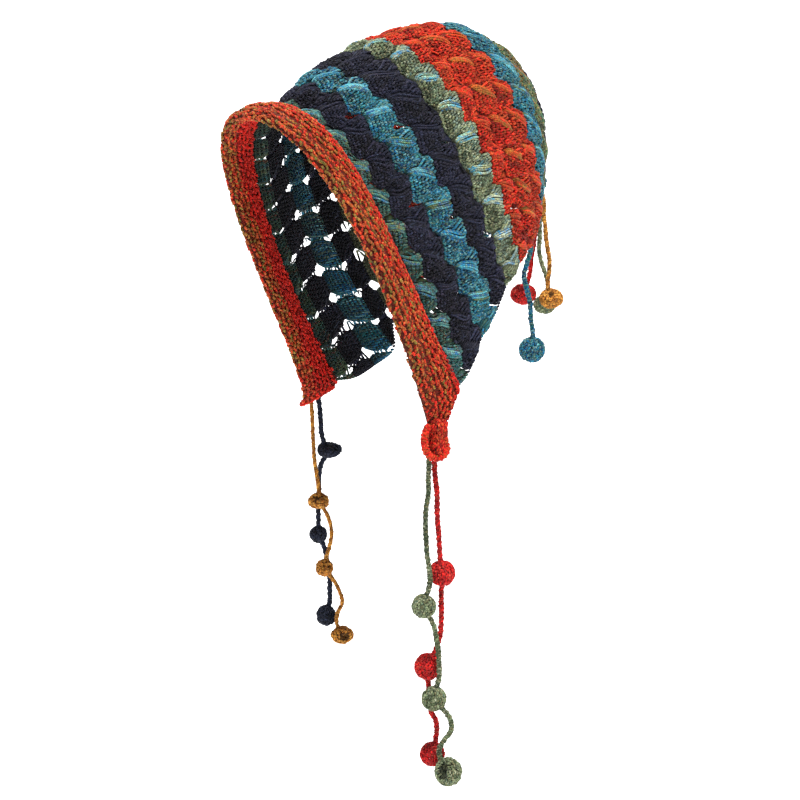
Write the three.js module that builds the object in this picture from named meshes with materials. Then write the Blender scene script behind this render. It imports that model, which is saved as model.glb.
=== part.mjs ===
// An earflap knit hat: an openwork bonnet knitted in coloured stripes from a rolled brim back to a
// gathered crown, with pointed earflaps, long ball ties on the flaps and four short ball cords on the
// crown. Millimetres, +Z up, the face looks along -Y, the wearer's left side is +X. The origin is where
// the top of a head seats inside the crown.
import * as THREE from "three";

// Driving dimensions, in millimetres
const wall = 3;
const gap = 0.3;
const brimGap = 0.6;
const lipRoll = 3.5;
const ballGap = 0.45;
const seatDepth = 20;
const seatHeight = 266;
const sideQuads = 18;
const stripeQuad = 12;
const brimStations = 30;
const brimSides = 10;
const brimOuterBulge = 6;
const brimInnerBulge = 3;
const brimTipThinning = 0.3;
const cordSides = 8;
const cordStep = 2.6;
const ballSegments = 10;
const ballRings = 7;

// The cords' routes are written in a frame turned to the hat's three-quarter side
const viewTurn = THREE.MathUtils.degToRad(50);

// Yarn colours
const yarn = {
  moss: "#3f6a58",
  charcoal: "#23252f",
  teal: "#2b7d96",
  sage: "#7d9277",
  red: "#c5301c",
  olive: "#5d6b4b",
  brim: "#bf4a24",
  mustard: "#a9742c",
  navy: "#20242e",
  scarlet: "#c01d22",
};

// The stripes' edges, from the brim to the gathered crown. Depths are measured back from the flap tips
// and heights up from them. Each edge is an arch over the head: up from the far hem, over the apex and
// down to the near hem, near being +X. Shoulder and cheek are how far the arch's handles reach sideways,
// and rise is how far up the cheek's handle stands.
const edgeColumns = [
  "apexY", "apexZ", "shoulder", "hemX",
  "nearY", "nearZ", "nearCheek", "nearRise",
  "farY", "farZ", "farCheek", "farRise",
];
const edgeRows = [
  [-80, 222, 74, 67, 19, 33, 50, 0.42, 21, 23, 87, 0.40],
  [-71, 225, 56, 64, 30, 40, 72, 0.52, 35, 24, 102, 0.45],
  [-58, 237, 50, 64, 42, 63, 76, 0.63, 53, 31, 110, 0.51],
  [-40, 247, 54, 61, 58, 80, 82, 0.65, 69, 42, 116, 0.58],
  [-14, 258, 58, 62, 66, 97, 76, 0.65, 70, 62, 114, 0.59],
  [4, 265, 57, 55, 84, 111, 82, 0.63, 86, 84, 102, 0.59],
  [54, 274, 44, 30, 125, 134, 86, 0.58, 117, 112, 90, 0.59],
  [80, 269, 42, 22, 131, 142, 74, 0.59, 127, 124, 76, 0.60],
  [102, 256, 38, 16, 137, 147, 58, 0.60, 133, 132, 60, 0.61],
  [119, 235, 31, 12, 141, 151, 42, 0.62, 138, 139, 44, 0.62],
  [131, 206, 22, 8, 144, 154, 26, 0.64, 142, 147, 27, 0.63],
  [140, 172, 9, 5, 145, 158, 9, 0.62, 145, 156, 9, 0.62],
];

// The stripes between those edges, by name and yarn
const stripes = [
  ["knit_moss", "moss"],
  ["knit_charcoal_front", "charcoal"],
  ["knit_teal_front", "teal"],
  ["knit_charcoal_middle", "charcoal"],
  ["knit_sage", "sage"],
  ["knit_red_crown", "red"],
  ["knit_teal_crown", "teal"],
  ["knit_olive_crown", "olive"],
  ["knit_charcoal_crown", "charcoal"],
  ["knit_red_back", "red"],
  ["knit_teal_back", "teal"],
];

// The brim's free lip, an arch like the stripes' edges, and where the brim's fabric side ends at each flap
const lip = {
  apexY: -106, apexZ: 218, shoulder: 93,
  nearX: 56, nearY: 5, nearZ: 4, nearCheek: 68, nearRise: 0.24,
  farX: -70, farY: -5, farZ: 9, farCheek: 35, farRise: 0.08,
};
const nearBrimEnd = [63, 10, 6];
const farBrimEnd = [-68, 17, 18];

// Cords hang from these places. A route's points are [across, toward, height]: across runs to the right
// and toward comes forward in the three-quarter frame, both from the anchor, and height is above the
// flap tips' level. Each ball is [route point, width, height].
const anchors = { left: [60, 4], right: [-69, 0.5], crown: [0, 152] };
const cords = [
  {
    name: "left_red", anchor: "left", yarn: "scarlet", diameter: 4.6,
    route: [
      [-0.5, -1.5, -13], [0, -2, -28], [1.5, -3, -41], [1.5, -3, -51], [2, -3, -62], [3, -3, -73.5],
      [3.5, -3, -83.5], [5, -3, -95.5], [4.5, -3, -108.5], [4.5, -4, -121.5], [4.5, -4, -129.5],
      [3.5, -4, -139.5], [0.5, -4.5, -150], [-4.5, -5, -161], [-4, -6.5, -177], [-2.5, -6.5, -192.5],
      [1, -6, -199.5], [1.5, -6, -206], [0.5, -6, -214], [-1.5, -6, -222.5],
    ],
    balls: [[7, 18, 18], [13, 18.5, 18.5], [19, 17, 17]],
  },
  {
    name: "left_sage", anchor: "left", yarn: "sage", diameter: 4.4,
    route: [
      [-4, 2.5, -12.3], [-4.5, 2.5, -28], [-4.5, 2.5, -39.5], [-6, 3, -49.5], [-6.5, 3, -59],
      [-6, 4, -69.5], [-5.5, 6, -79], [-4, 8, -90.5], [-3.5, 8, -101.5], [-7.5, 7, -116.5],
      [-1, 6, -129.5], [1, 5.5, -139.5], [2.5, 5.5, -148.5], [3, 6, -157.5], [3, 6, -166.5],
      [-0.5, 6, -181], [8, 6, -191], [11, 6, -197], [11, 6, -204], [6, 6, -210.5], [3, 6.5, -217],
      [4.5, 7, -224], [9, 8, -231.5],
    ],
    balls: [[9, 16.5, 16.5], [15, 17, 17], [22, 18.5, 20]],
  },
  {
    name: "right_mustard", anchor: "right", yarn: "mustard", diameter: 3.6,
    route: [
      [-0.5, 1, 9.6], [0, 1, 0], [0.5, 1, -12.5], [1, 1, -21.5], [1.5, 2, -30.5], [3, 2, -42],
      [4.5, 2, -51.5], [4.5, 3, -61], [10, 3, -69.5], [13, 3, -78.5], [13.5, 3, -86], [11.5, 3, -95.5],
      [8.5, 3, -108.5], [15, 3, -117.5], [19, 3, -125.5], [21, 3, -133.5], [17.5, 3, -141.5],
      [17, 3, -148.5], [21, 3, -157],
    ],
    balls: [[7, 15, 12], [12, 12.5, 12.5], [18, 16, 12.5]],
  },
  {
    name: "right_navy", anchor: "right", yarn: "navy", diameter: 4.4,
    route: [
      [4.5, -1, 11.4], [5.5, -1, 4], [6, -2, -5.5], [6.5, -2, -13], [8, -3, -19.5], [11, -3, -25],
      [6, -5, -36], [4.5, -7, -46], [4.5, -8, -57], [4, -8, -68.5], [4, -8, -78.5], [4, -8, -86.5],
      [8.5, -8, -97], [10.5, -7, -107.5], [12, -6, -118.5], [12, -6, -127], [12, -6, -134.5],
      [9.5, -6, -144.5],
    ],
    balls: [[5, 15, 12], [11, 12.5, 12.5], [17, 14, 15]],
  },
  {
    name: "crown_ochre", anchor: "crown", yarn: "mustard", diameter: 4,
    route: [
      [2, 2.5, 153.5], [3.5, 3, 145], [3.5, 3, 137.5], [4.5, 4, 129.5], [5, 4, 122.5], [6, 4, 114.5],
      [7.5, 4, 106.5], [7.5, 4, 98], [6.5, 4, 88], [9, 4, 78],
    ],
    balls: [[9, 17, 14]],
  },
  {
    name: "crown_sage", anchor: "crown", yarn: "sage", diameter: 4,
    route: [
      [2, -2, 153.5], [2, -3, 144.5], [1, -4, 136.5], [1, -5, 128.5], [1, -6, 120.5], [0.5, -6, 112],
      [2, -7, 103.5], [5, -9, 95], [7, -11, 87], [5, -13, 71.5],
    ],
    balls: [[9, 16, 13]],
  },
  {
    name: "crown_teal", anchor: "crown", yarn: "teal", diameter: 4.4,
    route: [
      [-3, 2.5, 152.5], [-2.5, 3, 144.5], [-2, 3, 136.5], [-3.5, 4, 128], [-5, 4, 119.5], [-6, 4, 111],
      [-8.5, 4, 102.5], [-10.5, 6, 94.5], [-8.5, 7, 85.5], [-6, 7, 74.5], [-5.5, 6, 63], [-4, 5, 53],
      [-4.5, 5, 41.5],
    ],
    balls: [[12, 18.5, 18.5]],
  },
  {
    name: "crown_red", anchor: "crown", yarn: "scarlet", diameter: 4,
    route: [
      [-3, -3, 153], [-3, -7, 142.5], [-2, -7, 134], [-2, -9, 124.5], [-3, -10, 115.5],
      [-4.5, -11, 106], [-5.5, -11, 96], [-7, -11, 89], [-10.5, -10, 79.5],
    ],
    balls: [[8, 18.5, 15]],
  },
];

// The yarn knots, by centre and size across, deep and high
const knots = [
  { name: "left_flap_knot", yarn: "red", centre: [61, 4, -4], size: [16, 14, 17] },
  { name: "crown_knot", yarn: "teal", centre: [0, 149.6, 161], size: [15, 11, 15] },
];

const hat = new THREE.Group();

// A point of the flap tips' frame in the part's own frame
function place(x, y, z) {
  return new THREE.Vector3(x, y - seatDepth, z - seatHeight);
}

function addPiece(name, colour, geometry) {
  const material = new THREE.MeshStandardMaterial({ color: yarn[colour], roughness: 0.95, metalness: 0 });
  const piece = new THREE.Mesh(geometry, material);
  piece.name = name;
  hat.add(piece);
}

// A closed solid of triangles, turned so that its faces point out
function solid(points, faces) {
  const cross = new THREE.Vector3();
  const volume = faces.reduce((sum, [a, b, c]) => {
    cross.crossVectors(points[b], points[c]);
    return sum + points[a].dot(cross);
  }, 0);
  const turned = volume > 0 ? faces : faces.map(([a, b, c]) => [a, c, b]);
  const geometry = new THREE.BufferGeometry().setFromPoints(points);
  geometry.setIndex(turned.flat());
  geometry.computeVertexNormals();
  return geometry;
}

// Half an arch, from its apex down to its foot
function halfArch(apex, shoulder, foot, cheek, rise) {
  const upper = new THREE.Vector3(shoulder, apex.y, apex.z);
  const lower = new THREE.Vector3().lerpVectors(foot, apex, rise);
  lower.x = cheek;
  return new THREE.CubicBezierCurve3(apex, upper, lower, foot);
}

function edgeArches(row) {
  const edge = Object.fromEntries(edgeColumns.map((column, i) => [column, row[i]]));
  const apex = place(0, edge.apexY, edge.apexZ);
  const nearFoot = place(edge.hemX, edge.nearY, edge.nearZ);
  const farFoot = place(-edge.hemX, edge.farY, edge.farZ);
  return {
    near: halfArch(apex, edge.shoulder, nearFoot, edge.nearCheek, edge.nearRise),
    far: halfArch(apex, -edge.shoulder, farFoot, -edge.farCheek, edge.farRise),
  };
}

function lipArches() {
  const apex = place(0, lip.apexY, lip.apexZ);
  const nearFoot = place(lip.nearX, lip.nearY, lip.nearZ);
  const farFoot = place(lip.farX, lip.farY, lip.farZ);
  return {
    near: halfArch(apex, lip.shoulder, nearFoot, lip.nearCheek, lip.nearRise),
    far: halfArch(apex, -lip.shoulder, farFoot, -lip.farCheek, lip.farRise),
  };
}

// Evenly spaced points along an arch, from the far foot over the apex to the near foot
function archPoints(arches, countPerSide) {
  const far = arches.far.getSpacedPoints(countPerSide).reverse();
  const near = arches.near.getSpacedPoints(countPerSide);
  return [...far, ...near.slice(1)];
}

// The fabric's middle surface: one curve from brim to crown through each row of edge points
const edges = edgeRows.map(edgeArches);
const edgePoints = edges.map((arches) => archPoints(arches, sideQuads));
const columnCount = 2 * sideQuads + 1;
const columns = [...Array(columnCount).keys()].map((u) => {
  const points = edgePoints.map((row) => row[u]);
  return new THREE.CatmullRomCurve3(points, false, "centripetal");
});

function fabricPoint(u, along) {
  return columns[u].getPoint(THREE.MathUtils.clamp(along, 0, edgeRows.length - 1) / (edgeRows.length - 1));
}

function fabricNormal(u, along) {
  const step = 0.05;
  const left = fabricPoint(Math.max(u - 1, 0), along);
  const right = fabricPoint(Math.min(u + 1, columnCount - 1), along);
  const front = fabricPoint(u, along - step);
  const back = fabricPoint(u, along + step);
  return right.sub(left).cross(back.sub(front)).normalize();
}

// One colour stripe: a wall of the fabric's thickness between two neighbouring edges
function stripeGeometry(index) {
  const apexWidth = edgePoints[index][sideQuads].distanceTo(edgePoints[index + 1][sideQuads]);
  const quads = Math.max(2, Math.round(apexWidth / stripeQuad));
  const points = [];
  for (const side of [0.5, -0.5]) {
    for (let v = 0; v <= quads; v += 1) {
      for (let u = 0; u < columnCount; u += 1) {
        const width = edgePoints[index][u].distanceTo(edgePoints[index + 1][u]);
        const trim = gap / 2 / width;
        const along = index + trim + (1 - 2 * trim) * (v / quads);
        points.push(fabricPoint(u, along).addScaledVector(fabricNormal(u, along), side * wall));
      }
    }
  }
  const layer = (quads + 1) * columnCount;
  const at = (side, v, u) => side * layer + v * columnCount + u;
  const faces = [];
  const quad = (a, b, c, d) => faces.push([a, b, c], [a, c, d]);
  for (let v = 0; v < quads; v += 1) {
    for (let u = 0; u + 1 < columnCount; u += 1) {
      quad(at(0, v, u), at(0, v, u + 1), at(0, v + 1, u + 1), at(0, v + 1, u));
      quad(at(1, v, u), at(1, v + 1, u), at(1, v + 1, u + 1), at(1, v, u + 1));
    }
  }
  for (let u = 0; u + 1 < columnCount; u += 1) {
    quad(at(0, 0, u), at(1, 0, u), at(1, 0, u + 1), at(0, 0, u + 1));
    quad(at(0, quads, u), at(0, quads, u + 1), at(1, quads, u + 1), at(1, quads, u));
  }
  for (let v = 0; v < quads; v += 1) {
    quad(at(0, v, 0), at(0, v + 1, 0), at(1, v + 1, 0), at(1, v, 0));
    const last = columnCount - 1;
    quad(at(0, v, last), at(1, v, last), at(1, v + 1, last), at(0, v + 1, last));
  }
  return solid(points, faces);
}

// The brim: a padded band lofted between the fabric's front edge and the lip, narrowing to the flap tips
function brimGeometry() {
  const toEnd = (arch, end) => {
    const path = new THREE.CurvePath();
    path.add(arch);
    path.add(new THREE.LineCurve3(arch.v3, place(...end)));
    return path;
  };
  const fabricSide = { near: toEnd(edges[0].near, nearBrimEnd), far: toEnd(edges[0].far, farBrimEnd) };
  const inner = archPoints(fabricSide, brimStations);
  const outer = archPoints(lipArches(), brimStations);
  const rings = inner.map((root, i) => {
    const tip = outer[i];
    const before = inner[Math.max(i - 1, 0)];
    const after = inner[Math.min(i + 1, inner.length - 1)];
    const across = tip.clone().sub(root);
    const width = across.length() - brimGap + lipRoll;
    across.normalize();
    const out = across.clone().cross(after.clone().sub(before)).normalize();
    const centre = root.clone().addScaledVector(across, brimGap + width / 2);
    const towardTip = Math.abs(i / brimStations - 1);
    const thinning = 1 - brimTipThinning * towardTip ** 4;
    return [...Array(brimSides).keys()].map((k) => {
      const angle = (2 * Math.PI * k) / brimSides;
      const bulge = Math.sin(angle) > 0 ? brimOuterBulge : brimInnerBulge;
      return centre
        .clone()
        .addScaledVector(across, (Math.cos(angle) * width) / 2)
        .addScaledVector(out, Math.sin(angle) * bulge * thinning);
    });
  });
  const points = rings.flat();
  const faces = [];
  const at = (ring, k) => ring * brimSides + (k % brimSides);
  for (let ring = 0; ring + 1 < rings.length; ring += 1) {
    for (let k = 0; k < brimSides; k += 1) {
      faces.push([at(ring, k), at(ring + 1, k), at(ring + 1, k + 1)]);
      faces.push([at(ring, k), at(ring + 1, k + 1), at(ring, k + 1)]);
    }
  }
  for (let k = 1; k + 1 < brimSides; k += 1) {
    faces.push([at(0, 0), at(0, k), at(0, k + 1)]);
    faces.push([at(rings.length - 1, 0), at(rings.length - 1, k + 1), at(rings.length - 1, k)]);
  }
  return solid(points, faces);
}

// An egg-shaped piece, for balls and knots
function eggGeometry(centre, size) {
  const egg = new THREE.SphereGeometry(0.5, ballSegments, ballRings);
  egg.rotateX(Math.PI / 2);
  egg.scale(...size);
  egg.translate(centre.x, centre.y, centre.z);
  return egg;
}

function routeCurve(cord) {
  const [anchorX, anchorY] = anchors[cord.anchor];
  const points = cord.route.map(([across, toward, height]) => {
    const x = anchorX + across * Math.cos(viewTurn) + toward * Math.sin(viewTurn);
    const y = anchorY + across * Math.sin(viewTurn) - toward * Math.cos(viewTurn);
    return place(x, y, height);
  });
  return new THREE.CatmullRomCurve3(points, false, "centripetal");
}

// A round tube along part of a curve
function tubeGeometry(curve, from, to, diameter) {
  const pointCount = 24;
  const points = [...Array(pointCount + 1).keys()].map((i) => {
    return curve.getPoint(from + ((to - from) * i) / pointCount);
  });
  const path = new THREE.CatmullRomCurve3(points, false, "centripetal");
  const steps = Math.max(2, Math.round(path.getLength() / (cordStep * diameter)));
  const section = new THREE.Shape();
  for (let k = 0; k < cordSides; k += 1) {
    const angle = (2 * Math.PI * k) / cordSides;
    const x = (diameter / 2) * Math.cos(angle);
    const y = (diameter / 2) * Math.sin(angle);
    if (k === 0) {
      section.moveTo(x, y);
    } else {
      section.lineTo(x, y);
    }
  }
  section.closePath();
  return new THREE.ExtrudeGeometry(section, { steps, extrudePath: path, curveSegments: 1 });
}

// Where the curve is outside a ball by the gap, going from the ball's own point along the curve
function clearOfBall(curve, at, direction, centre, width, height) {
  const fine = 0.0005;
  let along = at;
  for (let step = 0; step < 1 / fine; step += 1) {
    along = at + direction * step * fine;
    const offset = curve.getPoint(THREE.MathUtils.clamp(along, 0, 1)).sub(centre);
    const across = Math.hypot(offset.x, offset.y) / (width / 2 + ballGap);
    const up = offset.z / (height / 2 + ballGap);
    if (Math.hypot(across, up) >= 1) {
      break;
    }
  }
  return along;
}

// A cord's stretches between its balls, and the balls themselves
function addCord(cord) {
  const curve = routeCurve(cord);
  let start = 0;
  cord.balls.forEach(([routePoint, width, height], i) => {
    const at = routePoint / (cord.route.length - 1);
    const centre = curve.getPoint(at);
    const end = clearOfBall(curve, at, -1, centre, width, height);
    addPiece(`${cord.name}_cord_${i + 1}`, cord.yarn, tubeGeometry(curve, start, end, cord.diameter));
    addPiece(`${cord.name}_ball_${i + 1}`, cord.yarn, eggGeometry(centre, [width, width, height]));
    start = clearOfBall(curve, at, 1, centre, width, height);
  });
}

stripes.forEach(([name, colour], index) => addPiece(name, colour, stripeGeometry(index)));
addPiece("brim_band", "brim", brimGeometry());
knots.forEach(({ name, yarn: colour, centre, size }) => {
  addPiece(name, colour, eggGeometry(place(...centre), size));
});
cords.forEach(addCord);

export default hat;
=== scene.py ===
# An earflap knit hat: openwork knitting in coloured stripes from a rolled brim to a gathered crown, with
# ball ties on its flaps and short ball cords at its crown. Each piece is built from yarn on the frame's
# own surfaces. Lengths below are in millimetres unless a name says otherwise.
import math

import bpy
import numpy as np
from mathutils import Matrix, Vector


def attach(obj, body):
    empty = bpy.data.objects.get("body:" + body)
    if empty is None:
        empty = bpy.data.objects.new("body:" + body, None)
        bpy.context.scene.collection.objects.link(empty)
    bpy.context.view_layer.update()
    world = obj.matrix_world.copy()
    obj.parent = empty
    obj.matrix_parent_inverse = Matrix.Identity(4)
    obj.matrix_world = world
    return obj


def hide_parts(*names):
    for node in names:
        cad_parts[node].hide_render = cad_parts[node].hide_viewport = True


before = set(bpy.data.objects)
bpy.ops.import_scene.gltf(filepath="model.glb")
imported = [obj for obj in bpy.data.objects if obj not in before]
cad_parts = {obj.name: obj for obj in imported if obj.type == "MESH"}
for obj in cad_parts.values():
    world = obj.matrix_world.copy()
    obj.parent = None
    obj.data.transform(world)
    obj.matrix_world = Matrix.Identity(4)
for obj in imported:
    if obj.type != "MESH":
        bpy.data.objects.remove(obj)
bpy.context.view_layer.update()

METRE = 0.001
RANDOM = np.random.default_rng(7)

# The camera stands at the photograph's three-quarter angle
VIEW_AZIMUTH = 50.0
VIEW_ELEVATION = 8.0
VIEW_DISTANCE = 2600.0
VIEW_TARGET = (9.6, -4.7, -248.2)
LENS = 169.65
SENSOR = 36.0


def set_camera():
    azimuth = math.radians(VIEW_AZIMUTH)
    elevation = math.radians(VIEW_ELEVATION)
    right = Vector((math.cos(azimuth), math.sin(azimuth), 0))
    level = Vector((math.sin(azimuth), -math.cos(azimuth), 0))
    back = level * math.cos(elevation) + Vector((0, 0, math.sin(elevation)))
    up = back.cross(right)
    data = bpy.data.cameras.new("camera")
    data.lens = LENS
    data.sensor_width = SENSOR
    data.clip_end = 200
    camera = bpy.data.objects.new("camera", data)
    bpy.context.scene.collection.objects.link(camera)
    turn = Matrix((right, up, back)).transposed().to_4x4()
    place_at = (Vector(VIEW_TARGET) + back * VIEW_DISTANCE) * METRE
    camera.matrix_world = Matrix.Translation(place_at) @ turn
    bpy.context.scene.camera = camera
    return right, up, back


view_right, view_up, view_back = set_camera()

# The fabric's middle surface, from the same edge rows as the solids. Depths are measured back from the
# flap tips and heights up from them.
SEAT = np.array([0.0, -20.0, -266.0])
EDGE_COLUMNS = (
    "apex_y", "apex_z", "shoulder", "hem_x",
    "near_y", "near_z", "near_cheek", "near_rise",
    "far_y", "far_z", "far_cheek", "far_rise",
)
EDGE_ROWS = (
    (-80, 222, 74, 67, 19, 33, 50, 0.42, 21, 23, 87, 0.40),
    (-71, 225, 56, 64, 30, 40, 72, 0.52, 35, 24, 102, 0.45),
    (-58, 237, 50, 64, 42, 63, 76, 0.63, 53, 31, 110, 0.51),
    (-40, 247, 54, 61, 58, 80, 82, 0.65, 69, 42, 116, 0.58),
    (-14, 258, 58, 62, 66, 97, 76, 0.65, 70, 62, 114, 0.59),
    (4, 265, 57, 55, 84, 111, 82, 0.63, 86, 84, 102, 0.59),
    (54, 274, 44, 30, 125, 134, 86, 0.58, 117, 112, 90, 0.59),
    (80, 269, 42, 22, 131, 142, 74, 0.59, 127, 124, 76, 0.60),
    (102, 256, 38, 16, 137, 147, 58, 0.60, 133, 132, 60, 0.61),
    (119, 235, 31, 12, 141, 151, 42, 0.62, 138, 139, 44, 0.62),
    (131, 206, 22, 8, 144, 154, 26, 0.64, 142, 147, 27, 0.63),
    (140, 172, 9, 5, 145, 158, 9, 0.62, 145, 156, 9, 0.62),
)
LIP = {
    "apex_y": -106, "apex_z": 218, "shoulder": 93,
    "near_x": 56, "near_y": 5, "near_z": 4, "near_cheek": 68, "near_rise": 0.24,
    "far_x": -70, "far_y": -5, "far_z": 9, "far_cheek": 35, "far_rise": 0.08,
}
NEAR_BRIM_END = (63, 10, 6)
FAR_BRIM_END = (-68, 17, 18)
SIDE_SAMPLES = 60
ROW_SAMPLES = 24
LAST_EDGE = len(EDGE_ROWS) - 1


def bezier(start, first, second, end, count=600):
    t = np.linspace(0, 1, count)[:, None]
    start, first, second, end = (np.array(p, float) for p in (start, first, second, end))
    return (1 - t) ** 3 * start + 3 * (1 - t) ** 2 * t * first + 3 * (1 - t) * t * t * second + t**3 * end


def arc_lengths(line):
    steps = np.linalg.norm(np.diff(line, axis=0), axis=1)
    return np.concatenate([[0], np.cumsum(steps)])


def evenly(line, count):
    lengths = arc_lengths(line)
    at = np.linspace(0, lengths[-1], count)
    return np.stack([np.interp(at, lengths, line[:, k]) for k in range(3)], 1)


def half_arch(apex_y, apex_z, shoulder, foot, cheek, rise, side):
    apex = np.array([0, apex_y, apex_z], float)
    foot = np.array(foot, float)
    lower = foot + (apex - foot) * rise
    lower[0] = side * cheek
    return bezier(apex, (side * shoulder, apex_y, apex_z), lower, foot)


def edge_line(row):
    e = dict(zip(EDGE_COLUMNS, row))
    top = (e["apex_y"], e["apex_z"], e["shoulder"])
    near = half_arch(*top, (e["hem_x"], e["near_y"], e["near_z"]), e["near_cheek"], e["near_rise"], 1)
    far = half_arch(*top, (-e["hem_x"], e["far_y"], e["far_z"]), e["far_cheek"], e["far_rise"], -1)
    return near, far


def both_sides(near, far, count):
    line = np.concatenate([evenly(far, count + 1)[::-1], evenly(near, count + 1)[1:]])
    return line + SEAT


def catmull_rom(rows, at):
    """A centripetal curve through each column of the rows, at one place between them."""
    before = 2 * rows[0] - rows[1]
    after = 2 * rows[-1] - rows[-2]
    knots = np.concatenate([[before], rows, [after]])
    i = min(int(at), len(rows) - 2)
    w = at - i
    p0, p1, p2, p3 = knots[i : i + 4]
    d0, d1, d2 = np.linalg.norm(np.diff(knots[i : i + 4], axis=0), axis=-1, keepdims=True) ** 0.5
    t1 = ((p1 - p0) / d0 - (p2 - p0) / (d0 + d1) + (p2 - p1) / d1) * d1
    t2 = ((p2 - p1) / d1 - (p3 - p1) / (d1 + d2) + (p3 - p2) / d2) * d1
    return p1 + t1 * w + (3 * (p2 - p1) - 2 * t1 - t2) * w**2 + (2 * (p1 - p2) + t1 + t2) * w**3


def smooth(rows, steps):
    """The curves through the rows, with that many steps from each row to the next."""
    return np.array([catmull_rom(rows, k / steps) for k in range((len(rows) - 1) * steps + 1)])


def unit(v):
    return v / np.maximum(np.linalg.norm(v, axis=-1, keepdims=True), 1e-9)


EDGES = np.array([both_sides(*edge_line(row), SIDE_SAMPLES) for row in EDGE_ROWS])
SURFACE = smooth(EDGES, ROW_SAMPLES)
NORMALS = unit(np.cross(np.gradient(SURFACE, axis=1), np.gradient(SURFACE, axis=0)))
FAR_LENGTH = np.array([arc_lengths(row[SIDE_SAMPLES::-1])[-1] for row in SURFACE])
NEAR_LENGTH = np.array([arc_lengths(row[SIDE_SAMPLES:])[-1] for row in SURFACE])


def together(*values):
    return np.broadcast_arrays(*(np.asarray(value, float) for value in values))


def sampled(table, v, u):
    """The table's value at row v and column u, both fractional."""
    v = np.clip(v, 0, table.shape[0] - 1.001)
    u = np.clip(u, 0, table.shape[1] - 1.001)
    i = v.astype(int)
    j = u.astype(int)
    f = (v - i)[..., None]
    g = (u - j)[..., None]
    low = table[i, j] * (1 - g) + table[i, j + 1] * g
    high = table[i + 1, j] * (1 - g) + table[i + 1, j + 1] * g
    return low * (1 - f) + high * f


def hem(v):
    """How far the fabric reaches from its top line, on the far side and on the near side."""
    rows = np.arange(len(SURFACE)) / ROW_SAMPLES
    return np.interp(v, rows, FAR_LENGTH), np.interp(v, rows, NEAR_LENGTH)


def in_table(s, v):
    """The tables' row and column, both fractional, at s along the stripe and v edges back."""
    far, near = hem(v)
    return v * ROW_SAMPLES, SIDE_SAMPLES * (1 + np.where(s < 0, s / far, s / near))


def on_fabric(s, v, height):
    """A point and the outward normal: s along the stripe from the top line, v edges back, and a height."""
    s, v, height = together(s, v, height)
    normal = unit(sampled(NORMALS, *in_table(s, v)))
    return sampled(SURFACE, *in_table(s, v)) + normal * height[..., None], normal


# The cells' rows, one or more to a stripe, by where they end between the edges
CELL_ROWS = (
    (0, 1), (1, 2), (2, 3), (3, 4), (4, 5),
    (5, 5.3, 5.65, 6),
    (6, 7), (7, 8), (8, 9), (9, 9.5, 10), (10, 10.5, 11),
)

# The wales: lines of slits and eyelets that run back over the stripes. Their places along each edge
# follow the eyelets that show on the near side and through the far side.
WALE_PITCH = 24.6
FAR_WALE_PITCH = 23.4
FIRST_WALE = ((0.7, -11.2), (1.7, -5.4), (2.7, -1.9), (3.7, -0.1), (5.2, -6.3))
FAR_TOP_PITCH = ((1, 21.5), (2, 22.9), (3, 25.9), (4, 26.0))
FAR_TOP_WALES = 6
# Each edge with eyelets, and their half widths in wales on the far side and on the near side
EYELETS = (
    (1, 0.06, 0.1), (2, 0.17, 0.16), (3, 0.1, 0.1), (4, 0.17, 0.17), (5.3, 0.08, 0.15),
    (6, 0.06, 0.08), (8, 0.06, 0.06), (9, 0.05, 0.05), (10, 0.05, 0.05),
)
EYELET_EDGES, EYELET_FAR, EYELET_NEAR = np.transpose(EYELETS)
EYELET_REACH = 3.3
EYELET_FLATTENS = 0.8
FULL_EYELET = 0.1
DEPTHS = np.linalg.norm(np.gradient(SURFACE, axis=0), axis=-1, keepdims=True) * ROW_SAMPLES
# The stripes' back edges are toothed on the near side. A tooth's shape is given along one wale.
TOOTH = 8.2
TOOTH_PLACES = (0, 0.12, 0.26, 0.5, 0.8, 1)
TOOTH_SHAPE = (-0.75, 0.2, 0.3, 0.12, -0.25, -0.75)
TOOTH_FADE = 0.5
TOOTH_DEPTH = 9
NEAR_FROM = -1.5
NEAR_FADE = 1.2


def nearness(k):
    """From 0 on the far side to 1 on the near side, at k wales from the top line."""
    return 0.5 + 0.5 * np.tanh((k - NEAR_FROM) / NEAR_FADE)


def depth_at(s, v):
    """How many millimetres of fabric lie from one edge to the next, at s and v."""
    return sampled(DEPTHS, *in_table(s, v))[..., 0]


def wale(k, v):
    """How far the k-th wale line is from the top line, along the stripe, at v edges back."""
    k, v = together(k, v)
    first = np.interp(v, *np.transpose(FIRST_WALE))
    top_pitch = np.interp(v, *np.transpose(FAR_TOP_PITCH))
    near = WALE_PITCH * np.maximum(k, 0)
    far = np.maximum(-k, 0)
    top = np.minimum(far, FAR_TOP_WALES)
    return first + near - top_pitch * top - FAR_WALE_PITCH * (far - top)


def toothed(k, v):
    """v, in edges, moved back or forward as the teeth of the stripes' edges do."""
    whole = np.floor(k)
    reach = TOOTH * vary(0.3, whole, np.round(v))
    shift = np.interp(k - whole, TOOTH_PLACES, TOOTH_SHAPE) * reach * nearness(k)
    fade = np.clip(v / TOOTH_FADE, 0, 1) * np.clip((LAST_EDGE - v) / TOOTH_FADE, 0, 1)
    return v + fade * shift / np.maximum(depth_at(wale(k, v), v), TOOTH_DEPTH)


def chance(*keys):
    """A steady number from 0 to 1 for the keys."""
    x = sum(np.asarray(key, float) * scale for key, scale in zip(keys, (12.9898, 78.233, 37.719)))
    return np.modf(np.abs(np.sin(x) * 43758.5453))[0]


def vary(spread, *keys):
    """A steady factor round 1 for the keys, with its ends that spread apart."""
    return 1 + spread * (chance(*keys) - 0.5)


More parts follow.
